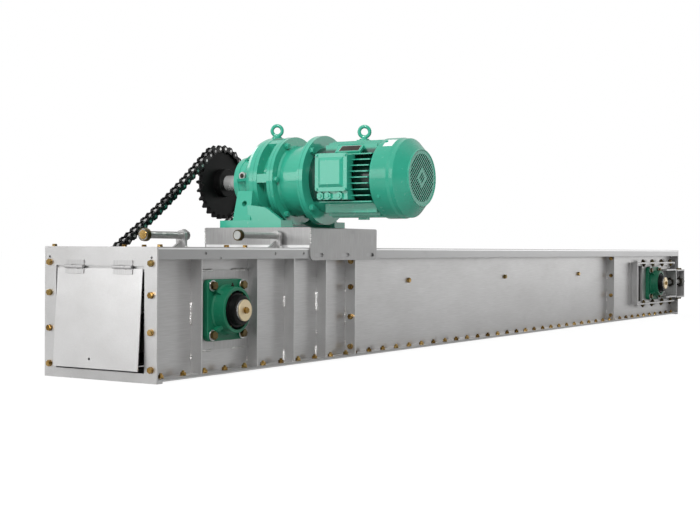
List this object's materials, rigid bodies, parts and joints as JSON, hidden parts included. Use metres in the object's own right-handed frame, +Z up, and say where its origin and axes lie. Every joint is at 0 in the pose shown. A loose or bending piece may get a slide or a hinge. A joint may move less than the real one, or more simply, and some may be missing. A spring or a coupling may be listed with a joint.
{
  "type": "drag chain conveyor",
  "caption": "Long bolted sheet-steel trough conveyor with a drag chain inside, gear motor and roller chain drive on top of the head, hinged end flap and screw take-up at the tail.",
  "frame": {"origin": "middle of the outlet, on the underside of the bottom plate, straight below the head shaft", "axes": "+X along the trough from the head (discharge) end to the tail, +Y across the trough to the side of the roller chain, +Z up"},
  "size_m": [4.9646, 0.891, 0.8307],
  "materials": {
    "galvanised_sheet": "bright satin zinc-coated sheet",
    "bearing_green": "semi-gloss green paint on cast iron",
    "drive_green": "glossy green paint",
    "shaft_steel": "bright turned steel",
    "shaft_end_brass": "pale brass, turned",
    "black_insert": "matt black",
    "chain_steel": "oiled black steel",
    "link_steel": "worn forged steel",
    "fastener_zinc": "yellow zinc plate"
  },
  "bodies": {
    "housing": {"head_walls": "galvanised_sheet", "mid_walls": "galvanised_sheet", "tail_walls": "galvanised_sheet", "head_bottom_plate": "galvanised_sheet", "mid_bottom_plate": "galvanised_sheet", "tail_bottom_plate": "galvanised_sheet", "head_cover": "galvanised_sheet", "mid_cover": "galvanised_sheet", "tail_cover": "galvanised_sheet", "head_end_plate": "galvanised_sheet", "tail_end_plate": "galvanised_sheet", "bearing_plates": "galvanised_sheet", "return_rails": "galvanised_sheet", "takeup_frames": "galvanised_sheet", "end_brackets": "galvanised_sheet", "saddle": "galvanised_sheet", "jack_lugs": "galvanised_sheet", "head_bearings": "bearing_green", "reducer": "drive_green", "motor": "drive_green", "terminal_box": "drive_green", "fan_cover": "drive_green", "eye_bolts": "drive_green", "head_shaft": "shaft_steel", "output_shaft": "shaft_steel", "hinge_fixed_leaves": "shaft_steel", "jack_bolts": "fastener_zinc", "shaft_end_disc": "shaft_end_brass", "head_bearing_inserts": "black_insert", "drive_sprocket": "chain_steel", "driven_sprocket": "chain_steel", "roller_chain": "chain_steel", "end_nuts": "chain_steel", "drag_chain": "link_steel", "head_sprocket": "link_steel"},
    "flap": {"inspection_flap": "galvanised_sheet", "hinge_moving_leaves": "shaft_steel"},
    "takeup": {"tail_shaft": "shaft_steel", "tail_wheel": "link_steel", "tail_bearings": "bearing_green", "tail_bearing_inserts": "black_insert", "tail_end_discs": "shaft_end_brass", "takeup_slides": "galvanised_sheet", "takeup_screws": "shaft_steel", "takeup_nuts": "chain_steel"}
  },
  "joints": [
    {"name": "flap_hinge", "type": "hinge", "parent": "housing", "child": "flap", "pos_m": [-0.357, 0, 0.324], "axis": [0, 1, 0], "range_deg": [-4, 110]},
    {"name": "takeup_slide", "type": "slide", "parent": "housing", "child": "takeup", "axis": [1, 0, 0], "range_m": [-0.08, 0]}
  ]
}
